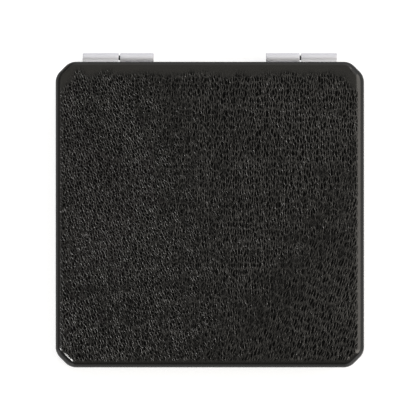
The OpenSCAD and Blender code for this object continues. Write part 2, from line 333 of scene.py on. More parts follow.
# %% [markdown]
# ## The section of the leather
# On the real object one sheet of leather lies over foam, is rolled over the edges of the tray
# and turned in under the frame, and two notches at the back let the hinge leaves out. It could
# be a simulated cloth, but it is glued down all over and can't move. So it is drawn as a
# section, from the face over the roll, down the side and round the fold to the lip and back
# along the inside. The photograph shows a broad roll on the right, and at the back a tight one
# beside a strip that is pressed flat and smooth.

# %% Section of the leather
# Insets count from the side of the case, and heights from its outer face.
LEATHER_T = 0.7
ROLLS = {"right": 1.95, "back": 0.75, "left": 1.5, "front": 1.7}
CORNER_ROLL = 0.7
ROLL_DEPTH = 1.9
ROLL_RINGS = 9
CROWN = 0.10
CROWN_REACH = (0.8, 9.0)
SIDE_H, FOLD_H, FOLD_R = 2.3, 3.15, 0.75
LIP_H, RIM_H = 3.9, 3.2
LIP_INSET, LIP_MIDDLE, RIM_INSET = 1.9, 1.3, 0.8
INNER_TOP, INNER_LOW = 3.12, 1.3
INNER_ROUND, INNER_FLOOR = 0.88, 1.3
NOTCH_ACROSS = (0.1, 0.25, 0.4, 0.55)
NOTCH_DOWN = (2.9, 2.6, 2.3, 2.0)


def face_drop(x, y):
    """How far the padded face falls away towards its edges, on all eight sides, in mm."""
    high = np.ones_like(x)
    for angle in np.radians(np.arange(0, 360, EIGHTH_TURN)):
        diagonal = abs(math.sin(2 * angle)) > 0.5
        side = CASE["w"] / 2 if abs(math.cos(angle)) > 0.9 else CASE["d"] / 2
        reach = (CASE["w"] / 2 + CASE["d"] / 2 - CASE["cut"]) / math.sqrt(2) if diagonal else side
        inside = reach - (x * math.cos(angle) + y * math.sin(angle))
        high = high * smooth_step(inside, *CROWN_REACH)
    return CROWN * (1 - high)


def roll_width(direction):
    """Width of the rolled edge: each side's own, and more at the front left corner.

    A side's share is the square of how much the direction points its way. The product of two
    neighbours is at most a quarter, so it is taken four times.
    """
    x, y = direction.T
    right, left, back, front = (np.maximum(v, 0) ** 2 for v in (x, -x, y, -y))
    sides = ROLLS["right"] * right + ROLLS["left"] * left + ROLLS["back"] * back + ROLLS["front"] * front
    return sides + CORNER_ROLL * 4 * left * front


def cover_section(width, cut):
    """Insets and heights of the section's rings, one column for each place on the outline.

    The roll is a quarter of an ellipse, `width` wide, and the fold is a quarter of a circle.
    Where `cut` holds, the leather ends at a notch: the rings step over its thickness instead.
    """
    turn = np.radians(np.linspace(0, 90, ROLL_RINGS))[:, None]
    roll_inset = width * (1 - np.sin(turn))
    roll_height = CROWN + np.minimum(width, ROLL_DEPTH) * (1 - np.cos(turn))
    fold = np.radians(EIGHTH_TURN / 2 * np.arange(1, 5))
    inner = [(LEATHER_T, INNER_LOW), (INNER_ROUND, INNER_ROUND), (INNER_FLOOR, LEATHER_T)]
    whole = [
        (0, SIDE_H), (0, FOLD_H),
        *zip(FOLD_R * (1 - np.cos(fold)), FOLD_H + FOLD_R * np.sin(fold)),
        (LIP_MIDDLE, LIP_H), (LIP_INSET, LIP_H), (LIP_INSET, RIM_H), (RIM_INSET, RIM_H),
        (LEATHER_T, INNER_TOP), *inner,
    ]
    notched = [
        (0, SIDE_H), (0, FOLD_H),
        *((across, FOLD_H) for across in (*NOTCH_ACROSS, LEATHER_T)),
        *((LEATHER_T, down) for down in NOTCH_DOWN), *inner,
    ]
    rest = np.where(cut[None, :, None], np.array(notched)[:, None], np.array(whole)[:, None])
    return np.vstack([roll_inset, rest[..., 0]]), np.vstack([roll_height, rest[..., 1]])


inset, height = cover_section(roll_width(direction), np.zeros(len(direction), bool))
print("rings:", len(inset), "rolls in mm: from", inset[0].min().round(2), "to", inset[0].max().round(2))

# %% [markdown]
# ## Where the grain fades
# The engraved grain doesn't reach everywhere. It is stretched out over the rolled edge, a little
# later on the right, and along the back it was pressed flat when the sheet was glued. The fold
# has small pleats at the corners, where there is more leather than edge. What the grain does is
# also stored on the mesh as attributes, with the place of each point on the flat sheet as a UV
# map, so that the material can carry the pattern over the edge without a break.

# %% Fades, pleats and stored marks
UV_SPAN = 200.0
GRAIN_END = (0.1, 0.65)
GRAIN_CARRY = 0.35
RIGHT_SIDE = (0.75, 1.0)
FLAT_STRIP, FLAT_CORNER, CORNER_SLOPE = 30.6, 59.0, 0.6
FLAT_FRAY, FLAT_BORDER = 0.3, (-1.8, 0.3)
PLEATS_ROUND, PLEAT_DEPTH, PLEAT_SPREAD = 96, 0.07, (0.05, 0.6)
RUBBED_SIDE = (0, 0.3)


def pressed_flat(x, y):
    """1 where the back edge and the back corners were pressed smooth, with a frayed border."""
    past = np.maximum(y - FLAT_STRIP, CORNER_SLOPE * (np.abs(x) + y - FLAT_CORNER))
    return smooth_step(past + FLAT_FRAY * sample(patches, x, y), *FLAT_BORDER)


def grain_over_edge(direction, travel, unrolled):
    """1 where the grain is whole and 0 where it is stretched out or pressed flat.

    It fades with the way travelled from the face, which counts from later on the right side.
    """
    carried = GRAIN_CARRY * smooth_step(direction[:, 0], *RIGHT_SIDE)
    fade_side = 1 - smooth_step(travel - carried, *GRAIN_END)
    return fade_side * (1 - pressed_flat(unrolled[..., 0], unrolled[..., 1]))


def corner_share(direction):
    """0 on the sides and 1 in the middle of each corner: the size of sin of twice the angle."""
    return np.abs(np.sin(2 * np.arctan2(direction[:, 1], direction[:, 0])))


def pleats(direction):
    """Depth of the pleats: a cosine wave round the case that grows towards the corners."""
    wave = 0.5 - 0.5 * np.cos(np.arctan2(direction[:, 1], direction[:, 0]) * PLEATS_ROUND)
    return PLEAT_DEPTH * wave * smooth_step(corner_share(direction), *PLEAT_SPREAD)


def rubbed_corners(direction):
    """1 at the two front corners, where hands polish the edge."""
    return corner_share(direction) * smooth_step(-direction[:, 1], *RUBBED_SIDE)


def store_marks(piece, flat, marks, shift):
    """Stores each point's place on the flat sheet as a UV map, and its marks as attributes."""
    mesh = piece.data
    corner = np.empty(len(mesh.loops), np.int32)
    mesh.loops.foreach_get("vertex_index", corner)
    uv = mesh.uv_layers.new(name="flat_sheet")
    uv.data.foreach_set("uv", ((flat + shift)[corner] / UV_SPAN).astype(np.float32).ravel())
    for label, values in (grain_shares(*flat.T) | marks).items():
        mark = mesh.attributes.new(label, "FLOAT", "POINT")
        mark.data.foreach_set("value", values.astype(np.float32))


print("rubbed corners: up to", rubbed_corners(direction).max().round(2))

# %% [markdown]
# ## The leather covers
# The section is carried round the outline, and the face is a patch inside the first ring. The
# grain is then pressed in along the normals of the section. Both halves come from this one
# function. The lower one stays as it is, with its face down, and the lid's is turned over.
# Their places on the flat sheet lie apart, so that the two don't have the same pits.

# %% Leather covers
SWELL_DEPTH = 0.012
# A notch runs from the second of these x to the third. The others are the places beside it.
NOTCH = (11.62, 11.84, 26.86, 27.08)
NOTCH_SNAP = 0.01
FOLD_RING, LIP_RING = 11, 16
TURNED_RINGS, TURNED_SHARES = (1, 5, 8, 10), (0, 1, 1, 0.35)


def leather_cover(name, n, lid):
    """The leather of one half: patch plus rings, pressed in by the grain along its normals.

    There are `n` steps on each quarter of the outline, and as many across the patch.
    """
    pairs = [(NOTCH[3], NOTCH[2]), (NOTCH[1], NOTCH[0]), (-NOTCH[0], -NOTCH[1]), (-NOTCH[2], -NOTCH[3])]
    centre, direction = loop_skeleton(CASE, n, anchors=pairs)
    reach = np.abs(centre[:, 0])
    cut = (direction[:, 1] > 0) & (reach > NOTCH[1] - NOTCH_SNAP) & (reach < NOTCH[2] + NOTCH_SNAP)
    inset, height = cover_section(roll_width(direction), cut)
    ring = np.arange(len(inset))[:, None]

    steps = np.hypot(np.diff(inset, axis=0), np.diff(height, axis=0))
    travel = np.vstack([np.zeros(4 * n), np.cumsum(steps, axis=0)])
    unrolled = centre + (CASE["r"] - inset[0] + travel)[..., None] * direction
    grained = grain_over_edge(direction, travel, unrolled) * (ring < LIP_RING)
    press = SWELL_DEPTH * (1 - sample(swell, unrolled[..., 0], unrolled[..., 1])) * grained
    press = press + pleats(direction) * ((ring >= FOLD_RING) & (ring < LIP_RING)) * ~cut

    slope_out, slope_in = np.gradient(-inset, axis=0), np.gradient(height, axis=0)
    length = np.hypot(slope_out, slope_in)
    out, down = inset + press * (slope_in / length), height + press * (slope_out / length)
    loop_points = np.dstack([centre + (CASE["r"] - out)[..., None] * direction, down])
    patch = patch_inside(unrolled[0])[1:-1, 1:-1].reshape(-1, 2)
    patch_grained = 1 - pressed_flat(*patch.T)
    patch_down = face_drop(*patch.T) + SWELL_DEPTH * (1 - sample(swell, *patch.T)) * patch_grained
    points = np.vstack([loop_points.reshape(-1, 3), np.column_stack([patch, patch_down])])
    quads, last = shell_faces(n, len(ring), len(ring) * 4 * n)
    if lid:
        points[:, 2] = TOTAL_H - points[:, 2]
    else:
        quads, last = quads[:, ::-1], last[::-1]
    piece = add_piece(name, points, quads, sharp=55, caps=[last])

    unmarked = np.zeros(len(patch))
    turned = np.repeat(np.interp(ring[:, 0], TURNED_RINGS, TURNED_SHARES), 4 * n)
    polished = rubbed_corners(direction) * (ring < ROLL_RINGS)
    marks = {
        "grained": np.concatenate([grained.ravel(), patch_grained]),
        "turned": np.concatenate([turned, unmarked]),
        "polished": np.concatenate([polished.ravel(), unmarked]),
    }
    store_marks(piece, np.vstack([unrolled.reshape(-1, 2), patch]), marks, 0.0 if lid else SHEET)
    return piece


lid_cover = leather_cover("lid_leather_cover", n=268, lid=True)
base_cover = leather_cover("base_leather_cover", n=200, lid=False)
for cover, body, node in ((lid_cover, "lid", "lid_leather"), (base_cover, "base", "base_leather")):
    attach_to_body(cover, body)
    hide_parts(node)

# %% [markdown]
# ## The magnifying mirror
# The lower mirror is dished like a shallow bowl, and that is what enlarges. The frame's solid
# has the dish in steps, which would break the reflection up into rings, so here it is one
# smooth surface: the same outline, with the height rising by the square of the distance from
# the middle. The lid's mirror is flat, and the frame's solid is good enough for it.

# %% Magnifying mirror
GLASS = {"w": 58.6, "d": 58.0, "cut": 7.3, "r": 1.5}
GLASS_FOOT, GLASS_TOP = 2.1, 3.7
GLASS_EDGE = 0.12
DISH = 0.7
half_w, half_d = GLASS["w"] / 2, GLASS["d"] / 2
GLASS_REACH = max(math.hypot(half_w, half_d - GLASS["cut"]), math.hypot(half_w - GLASS["cut"], half_d))


def dish_height(p):
    """Height of the dish: its middle plus a rise with the square of the distance from there."""
    return GLASS_TOP - DISH * (1 - (p**2).sum(axis=-1) / GLASS_REACH**2)


def dished_glass(name, n):
    """Patch on the dish, a small round at the rim, the side and the flat back."""
    centre, direction = loop_skeleton(GLASS, n)
    first = centre + (GLASS["r"] - GLASS_EDGE) * direction
    turn = np.radians(EIGHTH_TURN * np.arange(1, 3))[:, None, None]
    rim = centre + (GLASS["r"] - GLASS_EDGE * (1 - np.sin(turn))) * direction
    rim_top = dish_height(first) - GLASS_EDGE * (1 - np.cos(turn[..., 0]))
    outer = centre + GLASS["r"] * direction
    rings = np.stack([
        np.column_stack([first, dish_height(first)]),
        np.column_stack([rim[0], rim_top[0]]),
        np.column_stack([rim[1], rim_top[1]]),
        np.column_stack([outer, np.full(4 * n, GLASS_FOOT)]),
    ])
    patch = patch_inside(first)[1:-1, 1:-1].reshape(-1, 2)
    points = np.vstack([rings.reshape(-1, 3), np.column_stack([patch, dish_height(patch)])])
    quads, last = shell_faces(n, len(rings), len(rings) * 4 * n)
    return add_piece(name, points, quads, sharp=40, caps=[last])


base_glass = dished_glass("base_magnifying_mirror", n=72)
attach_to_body(base_glass, "base")
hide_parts("base_mirror")
print("dish depth in mm:", DISH, "focal length in mm:", round(GLASS_REACH**2 / (4 * DISH)))

# %% [markdown]
# ## The hinges
# A hinge leaf is a strip of nickel-plated sheet metal. Its tongue is rolled round the pin until
# its end nearly meets the plate again, and a thin seam stays open there. The frame's solid has
# a plain cylinder. The strip could be a curve with a bevel, but its eye has to be as wide as
# one knuckle and the plate as long as the hinge. So the section is two lines, the outside and
# the inside of the bent strip, which are carried along the pin. The rims are closed with faces
# between the two lines, and the ends of the eye are drawn in a little, as after tumbling.

# %% Section of the bent strip
HINGE_Y, HINGE_Z = 33.1, 4.5
EYE_R, BORE_R = 1.0, 0.53
PLATE_Y, PLATE_X = (30.25, 31.9), (11.85, 26.85)
PLATE_Z = (3.55, 3.88)
BEND_Y, BEND_LIFT = 32.4, 0.01
OUTER_TURN, INNER_TURN = (251.8, 574), (262, 582)
EYE_STEPS = 56


def bent_line(plate_z, bend_z, radius, turn):
    """One side of the strip as y and z: three points of the plate, then an arc round the pin."""
    angle = np.radians(np.linspace(*turn, EYE_STEPS))
    eye = np.column_stack([HINGE_Y + radius * np.cos(angle), HINGE_Z + radius * np.sin(angle)])
    return np.vstack([[(PLATE_Y[0], plate_z), (PLATE_Y[1], plate_z), (BEND_Y, bend_z)], eye])


strip_outer = bent_line(PLATE_Z[0], PLATE_Z[0], EYE_R, OUTER_TURN)
strip_inner = bent_line(PLATE_Z[1], PLATE_Z[1] + BEND_LIFT, BORE_R, INNER_TURN)
print("length of the strip in mm:", np.hypot(*np.diff(strip_outer, axis=0).T).sum().round(2))

# %% [markdown]
# ### Along the pin
# The plate is as long as the whole hinge and the eye is one knuckle wide, so the columns of
# points along the pin are the eye's, plus one for the plate on the side where it reaches past.
# Points are numbered in a block, by skin, place on the section and column, and every row of
# faces is then a slice of that block. Rims on opposite ends turn opposite ways, so that all
# faces point outwards, and the printed count of open edges shows that the strip is closed.

# %% Rolled hinge leaves
EYE_SPANS = {"base": (11.85, 18.95), "lid": (19.25, 26.85)}
# How far the rims of the eye are drawn in, and how far from its ends.
EYE_CHAMFER = np.array([0.12, 0.055, 0.015, 0.0])
EYE_CHAMFER_X = np.array([0.0, 0.04, 0.09, 0.14])
EYE_MIDDLES = 3
BORE_SHARE = 0.4


def leaf_columns(start, stop):
    """Places along the pin, how far the rims are drawn in there, and the eye's two end columns."""
    middles = np.linspace(start, stop, EYE_MIDDLES + 2)[1:-1]
    eye_x = np.concatenate([start + EYE_CHAMFER_X, middles, stop - EYE_CHAMFER_X[::-1]])
    eye_inset = np.concatenate([EYE_CHAMFER, np.zeros(EYE_MIDDLES), EYE_CHAMFER[::-1]])
    before = [PLATE_X[0]] if start > PLATE_X[0] else []
    after = [PLATE_X[1]] if stop < PLATE_X[1] else []
    x = np.concatenate([before, eye_x, after])
    inset = np.concatenate([np.zeros(len(before)), eye_inset, np.zeros(len(after))])
    return x, inset, len(before), len(before) + len(eye_x) - 1


def leaf_faces(m, columns, first, last):
    """Corner numbers of both skins of the strip and of the rims that join them.

    The plate is the section's first step and has all columns, and the rest is the eye's.
    """
    number = np.arange(2 * m * columns).reshape(2, m, columns)
    i, j = np.meshgrid(np.arange(m - 1), np.arange(columns - 1), indexing="ij")
    used = (i == 0) | ((j >= first) & (j < last))
    corners = number[:, :-1, :-1], number[:, 1:, :-1], number[:, 1:, 1:], number[:, :-1, 1:]
    a, b, c, d = (corner[:, used] for corner in corners)
    skins = [np.stack([a[0], b[0], c[0], d[0]], 1), np.stack([a[1], d[1], c[1], b[1]], 1)]

    def rim(line_out, line_in):
        """Faces between two lines of points."""
        return np.stack([line_out[:-1], line_out[1:], line_in[1:], line_in[:-1]], 1)

    rims = [
        rim(*number[:, 0]),
        rim(*number[:, -1, first : last + 1])[:, ::-1],
        rim(*number[:, 1, : first + 1])[:, ::-1],
        rim(*number[:, 1, last:])[:, ::-1],
        rim(*number[:, :2, 0])[:, ::-1],
        rim(*number[:, :2, -1]),
        rim(*number[:, 1:, first])[:, ::-1],
        rim(*number[:, 1:, last]),
    ]
    return np.vstack(skins + rims)


def rolled_leaf(name, body, side):
    """The bent strip of one leaf. `side` is 1 for the right hinge and -1 for the left one.

    Towards the ends of the eye the two skins are drawn together along the line between them.
    """
    x, inset, first, last = leaf_columns(*EYE_SPANS[body])
    m, columns = len(strip_outer), len(x)
    share = np.clip((np.arange(m) - 1) / 2, 0, 1)[:, None, None]
    through = strip_inner - strip_outer
    drawn = share * inset[None, :, None] * (through / np.hypot(*through.T)[:, None])[:, None]
    skins = np.stack([strip_outer[:, None] + drawn, strip_inner[:, None] - BORE_SHARE * drawn])
    across = np.broadcast_to(x[None, None, :, None], (2, m, columns, 1))
    points = np.concatenate([across, skins], axis=-1).reshape(-1, 3)
    kept, quads = np.unique(leaf_faces(m, columns, first, last), return_inverse=True)
    points, quads = points[kept] * [side, 1, 1], quads.reshape(-1, 4)
    if body == "lid":
        points[:, 2] = TOTAL_H - points[:, 2]
    if side * (1 if body == "base" else -1) < 0:
        quads = quads[:, ::-1]
    return add_piece(name, points, quads, sharp=35)


def print_shell(piece):
    """Prints how many edges are open, which should be none, and the volume."""
    shell = bmesh.new()
    shell.from_mesh(piece.data)
    open_edges = sum(not edge.is_manifold for edge in shell.edges)
    print("open edges:", open_edges, "mm3:", round(shell.calc_volume(signed=True) / MM**3, 2))
    shell.free()


for body in ("base", "lid"):
    for side, label in ((1, "right"), (-1, "left")):
        leaf = rolled_leaf(f"{body}_rolled_leaf_{label}", body, side)
        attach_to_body(leaf, body)
        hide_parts(f"{body}_hinge_leaf_{label}")
        print_shell(leaf)

# %% [markdown]
# ## Materials
# Every finish is one Principled shader. Numbers that are the same all over the surface are set
# on the shader itself, and only what varies comes from nodes. The patterns read Object
# coordinates, which are metres in the object's own space, so a scale of 1000 counts in
# millimetres and stays the same on each half.

# %% Material helpers
NOISE_SPAN = (0.3, 0.7)


def new_finish(name, colour, roughness, metallic=0.0, **sockets):
    """A Principled material. Returns the material, its node tree and its shader node."""
    material = bpy.data.materials.new(name)
    material.use_nodes = True
    tree = material.node_tree
    shader = tree.nodes["Principled BSDF"]
    shader.inputs["Base Color"].default_value = (*colour, 1.0)
    shader.inputs["Roughness"].default_value = roughness
    shader.inputs["Metallic"].default_value = metallic
    for socket, value in sockets.items():
        shader.inputs[socket.replace("_", " ")].default_value = value
    return material, tree, shader


def noise_of(tree, per_mm, detail=2.0, stretch=(1, 1, 1)):
    """A Noise Texture on Object coordinates, `per_mm` features to a millimetre."""
    where = tree.nodes.new("ShaderNodeTexCoord")
    place = tree.nodes.new("ShaderNodeMapping")
    place.inputs["Scale"].default_value = [per_mm * s / MM for s in stretch]
    noise = tree.nodes.new("ShaderNodeTexNoise")
    noise.inputs["Scale"].default_value = 1.0
    noise.inputs["Detail"].default_value = detail
    tree.links.new(where.outputs["Object"], place.inputs["Vector"])
    tree.links.new(place.outputs["Vector"], noise.inputs["Vector"])
    return noise.outputs["Fac"]


def ranged(tree, value, low, high, to_low, to_high):
    """Value from `low` to `high` turned into `to_low` to `to_high`."""
    node = tree.nodes.new("ShaderNodeMapRange")
    for socket, number in zip(("From Min", "From Max", "To Min", "To Max"), (low, high, to_low, to_high)):
        node.inputs[socket].default_value = number
    tree.links.new(value, node.inputs["Value"])
    return node.outputs["Result"]


def vary_roughness(tree, shader, pattern, smooth, rough, span=NOISE_SPAN):
    """Roughness from `smooth` to `rough` while the pattern goes through its span."""
    tree.links.new(ranged(tree, pattern, *span, smooth, rough), shader.inputs["Roughness"])


def tint_between(tree, shader, share, first, second):
    """Base colour: the first where the share is 0, the second where it is 1."""
    colour = tree.nodes.new("ShaderNodeMix")
    colour.data_type = "RGBA"
    colour.inputs["A"].default_value = (*first, 1)
    colour.inputs["B"].default_value = (*second, 1)
    tree.links.new(share, colour.inputs["Factor"])
    tree.links.new(colour.outputs["Result"], shader.inputs["Base Color"])


def bump_from(tree, shader, height, depth_mm):
    """Small relief of a given depth in millimetres."""
    bump = tree.nodes.new("ShaderNodeBump")
    bump.inputs["Distance"].default_value = depth_mm * MM
    bump.inputs["Strength"].default_value = 1.0
    tree.links.new(height, bump.inputs["Height"])
    tree.links.new(bump.outputs["Normal"], shader.inputs["Normal"])


def dress(material, *names):
    """Gives the pieces this one material, and says so."""
    for name in names:
        slots = bpy.data.objects[name].data.materials
        slots.clear()
        slots.append(material)
    print(material.name, "on", ", ".join(names))


# %% [markdown]
# ### The net of the grain
# The grain is a net of thin ridges round small dark pits, with longer veins drawn over it. A
# Voronoi texture that measures the distance to its cells' borders gives both. It reads the flat
# sheet's UV map, so it follows the leather over the rolled edge. Noise moves the places a
# little first, because straight borders between cells would look computed.

# %% Nets of ridges
CRINKLE = (0.5, 0.35, 0)
CRINKLE_WAVE = 1.1
CELL_RANDOMNESS = 0.85


def attach(tree, value, socket):
    """Links an output to a socket, or sets the socket if the value is a number."""
    if isinstance(value, (int, float)):
        socket.default_value = value
    else:
        tree.links.new(value, socket)


def worked(tree, operation, a, b):
    """One Math node. `a` and `b` are outputs of nodes, or numbers."""
    node = tree.nodes.new("ShaderNodeMath")
    node.operation = operation
    attach(tree, a, node.inputs[0])
    attach(tree, b, node.inputs[1])
    return node.outputs["Value"]


def blended(tree, share, first, second):
    """First where the share is 0, second where it is 1. Each is an output or a number."""
    node = tree.nodes.new("ShaderNodeMix")
    tree.links.new(share, node.inputs["Factor"])
    attach(tree, first, node.inputs["A"])
    attach(tree, second, node.inputs["B"])
    return node.outputs["Result"]


def stored(tree, label):
    """What the cover's mesh stores under this label."""
    node = tree.nodes.new("ShaderNodeAttribute")
    node.attribute_name = label
    return node.outputs["Fac"]


def sheet_noise(tree, place, wavelength, detail, output="Fac", along=1.0):
    """Noise on the flat sheet, `wavelength` mm across and `along` times that in Y."""
    drawn = tree.nodes.new("ShaderNodeMapping")
    drawn.vector_type = "TEXTURE"
    drawn.inputs["Scale"].default_value = (1, along, 1)
    tree.links.new(place, drawn.inputs["Vector"])
    noise = tree.nodes.new("ShaderNodeTexNoise")
    noise.noise_dimensions = "2D"
    noise.inputs["Scale"].default_value = 1 / wavelength
    noise.inputs["Detail"].default_value = detail
    tree.links.new(drawn.outputs["Vector"], noise.inputs["Vector"])
    return noise.outputs[output]


def crinkled_sheet(tree):
    """Place on the flat sheet in mm, moved a little by noise so that no line stays straight."""
    flat = tree.nodes.new("ShaderNodeUVMap")
    flat.uv_map = "flat_sheet"
    in_mm = tree.nodes.new("ShaderNodeVectorMath")
    in_mm.operation = "SCALE"
    in_mm.inputs["Scale"].default_value = UV_SPAN
    tree.links.new(flat.outputs["UV"], in_mm.inputs[0])
    moved = tree.nodes.new("ShaderNodeVectorMath")
    moved.operation = "MULTIPLY_ADD"
    moved.inputs[1].default_value = CRINKLE
    crinkle = sheet_noise(tree, in_mm.outputs["Vector"], CRINKLE_WAVE, 2.0, "Color")
    tree.links.new(crinkle, moved.inputs[0])
    tree.links.new(in_mm.outputs["Vector"], moved.inputs[2])
    return moved.outputs["Vector"]


def net(tree, place, pitch, width, angle, stretch):
    """1 on the borders between cells, falling to 0 at `width` cells from them.

    The cells are `pitch` mm apart, and `stretch` times that along a direction in degrees.
    """
    turned = tree.nodes.new("ShaderNodeMapping")
    turned.vector_type = "TEXTURE"
    turned.inputs["Rotation"].default_value = (0, 0, math.radians(angle))
    turned.inputs["Scale"].default_value = (pitch * stretch, pitch, 1)
    cells = tree.nodes.new("ShaderNodeTexVoronoi")
    cells.voronoi_dimensions = "2D"
    cells.feature = "DISTANCE_TO_EDGE"
    cells.inputs["Scale"].default_value = 1.0
    cells.inputs["Randomness"].default_value = CELL_RANDOMNESS
    tree.links.new(place, turned.inputs["Vector"])
    tree.links.new(turned.outputs["Vector"], cells.inputs["Vector"])
    return ranged(tree, cells.outputs["Distance"], 0, width, 1, 0)


# %% [markdown]
# ### Black leather: height
# Four fine nets, round, upright and leaning two ways, are mixed by the shares stored in the
# mesh. Ridges are not all alike: a fine noise rubs single ones down, and a slow one makes the
# grain stronger here and weaker there. Where the leather was pressed smooth, one even height
# takes the place of the net.

# %% Height of the grain
RIDGE_PITCH = 0.5
RIDGE_NETS = {
    "round": {"angle": 110, "stretch": 1.7, "width": 0.16},
    "upright": {"angle": 90, "stretch": 2.8, "width": 0.18},
    "right": {"angle": 72, "stretch": 3.8, "width": 0.22},
    "left": {"angle": 110, "stretch": 2.2, "width": 0.16},
}
VEIN_NET = {"pitch": 1.5, "angle": 88, "stretch": 4.0, "width": 0.07}
VEIN_SHARE = 0.4
RUB_WAVE, RUB_ALONG, RUB_STRENGTH = 0.45, 1.7, (0.45, 1.1)
WEAR_WAVE, WEAR_ALONG, WEAR_STRENGTH = 9.0, 1.4, (0.88, 1.1)
LEATHER_SPAN = (0.35, 0.65)
PRESSED_HEIGHT = 0.75

leather, tree, shader = new_finish("black_leather", (0.012, 0.0116, 0.011), 0.3)
place = crinkled_sheet(tree)
ridges = net(tree, place, RIDGE_PITCH, **RIDGE_NETS["round"])
for label in ("upright", "right", "left"):
    leaning = net(tree, place, RIDGE_PITCH, **RIDGE_NETS[label])
    ridges = blended(tree, stored(tree, label), ridges, leaning)
rub = sheet_noise(tree, place, RUB_WAVE, 1.0, along=RUB_ALONG)
wear = sheet_noise(tree, place, WEAR_WAVE, 2.0, along=WEAR_ALONG)
height = worked(tree, "MULTIPLY", ridges, ranged(tree, rub, *LEATHER_SPAN, *RUB_STRENGTH))
height = worked(tree, "MULTIPLY", height, ranged(tree, wear, *LEATHER_SPAN, *WEAR_STRENGTH))
veins = worked(tree, "MULTIPLY", net(tree, place, **VEIN_NET), VEIN_SHARE)
height = worked(tree, "ADD", height, veins)
height = blended(tree, stored(tree, "grained"), PRESSED_HEIGHT, height)
print("nodes for the height:", len(tree.nodes))

# %% [markdown]
# ### Black leather: colour and gloss
# The pits are painted darker than the ridges and hold less gloss, a painted shade for the shadow
# that fills them, so colour and gloss follow the height. Over the rolled edge the leather is
# stretched, which makes it smoother, and its colour is darkened there as painted shade for the
# dark band where little light reaches the edge. Past it, down the side, the gloss dies out. Hands
# polish the two front corners, and there the mark stored in the mesh lowers the roughness and
# doubles the gloss.

# %% Colour and gloss of the leather
# The pit colour is painted shade: the darkness of the shadow in real pits. The darkened rolled edge uses
# it too.
PAINTED_SHADE_COLOUR, RIDGE_COLOUR = (0.0018, 0.00174, 0.0016), (0.032, 0.0309, 0.028)
FACE_ROUGHNESS = (0.3, 0.21)
EDGE_ROUGHNESS, CORNER_ROUGHNESS = 0.17, 0.12
GRAIN_DEPTH = 0.03
# Each range says from where to where a mark or the height goes, and what it is turned into.
# The first range darkens the rolled edge and side: painted shade for the dark band where little light
# reaches the edge.
EDGE_PAINTED_SHADE, EDGE_START = (0, 0.45, 1.0, 0.2), (0, 0.3, 0, 1)
PIT_GLOSS, SIDE_GLOSS, CORNER_GLOSS = (0.0, 0.45, 0.08, 0.5), (0.45, 1, 1, 0.2), (0.1, 0.8, 1, 2)

turned = stored(tree, "turned")
corner_polish = stored(tree, "polished")
# Grain height, lowered over the rolled edge by painted shade. Where it is low, the colour takes the
# painted shade of the pits.
painted_shade_share = worked(tree, "MULTIPLY", height, ranged(tree, turned, *EDGE_PAINTED_SHADE))
tint_between(tree, shader, painted_shade_share, PAINTED_SHADE_COLOUR, RIDGE_COLOUR)

on_face = ranged(tree, height, 0, 1, *FACE_ROUGHNESS)
on_edge = blended(tree, ranged(tree, turned, *EDGE_START), on_face, EDGE_ROUGHNESS)
tree.links.new(blended(tree, corner_polish, on_edge, CORNER_ROUGHNESS), shader.inputs["Roughness"])

shine = ranged(tree, height, *PIT_GLOSS)
dying = ranged(tree, turned, *SIDE_GLOSS)
doubled = ranged(tree, corner_polish, *CORNER_GLOSS)
gloss = worked(tree, "MULTIPLY", shine, worked(tree, "MULTIPLY", dying, doubled))
tree.links.new(gloss, shader.inputs["Specular IOR Level"])
bump_from(tree, shader, height, GRAIN_DEPTH)
dress(leather, "lid_leather_cover", "base_leather_cover")

# %% [markdown]
# ### Satin nickel and steel
# The hinges are nickel-plated and tumbled, a pale finish that blurs what it mirrors until it is
# almost matte. Rubbing leaves fine streaks along the pin. The flank next to the leather has a
# painted highlight: its colour is made brighter to stand in for the light that the tall leather
# edge beside it keeps off. The rivets are drawn steel, the pins are painted near black as
# painted shade for the dark slit between the knuckles, and the magnets and the discs that they
# hold are plated bright.

# %% Satin nickel and steel
FLANK_FAR, FLANK_NEAR = HINGE_Y + 0.7, HINGE_Y - 0.5
EYE_COLOUR, FLANK_PAINTED_HIGHLIGHT = (0.55, 0.55, 0.59), (0.96, 0.96, 0.99)

nickel, tree, shader = new_finish("satin_nickel", (0.80, 0.80, 0.85), 0.6, metallic=0.15)
streaks = noise_of(tree, 1.0, detail=4.0, stretch=(0.6, 6, 6))
vary_roughness(tree, shader, streaks, smooth=0.54, rough=0.68)
bump_from(tree, shader, streaks, 0.004)
where = tree.nodes.new("ShaderNodeTexCoord")
along = tree.nodes.new("ShaderNodeSeparateXYZ")
tree.links.new(where.outputs["Object"], along.inputs["Vector"])
# Painted highlight: the colour grows brighter towards the leather, standing in for the light that the
# leather edge keeps off the flank.
painted_highlight_share = ranged(tree, along.outputs["Y"], FLANK_FAR * MM, FLANK_NEAR * MM, 0, 1)
tint_between(tree, shader, painted_highlight_share, EYE_COLOUR, FLANK_PAINTED_HIGHLIGHT)
dress(nickel, *(f"{body}_rolled_leaf_{label}" for body in ("base", "lid") for label in ("left", "right")))

steel, tree, shader = new_finish("drawn_steel", (0.50, 0.50, 0.51), 0.35, metallic=1.0)
drawn = noise_of(tree, 1.0, detail=3.0, stretch=(0.5, 9, 9))
vary_roughness(tree, shader, drawn, smooth=0.28, rough=0.42)
dress(steel, "base_hinge_rivets", "lid_hinge_rivets")

# The pins are painted near black: a painted shade for the dark slit between the knuckles.
pin_painted_shade, tree, shader = new_finish("pin_steel_painted_shade", (0.05, 0.05, 0.052), 0.45, metallic=1.0)
smears = noise_of(tree, 1.5, detail=3.0)
vary_roughness(tree, shader, smears, smooth=0.38, rough=0.55)
dress(pin_painted_shade, "hinge_pin_left", "hinge_pin_right")

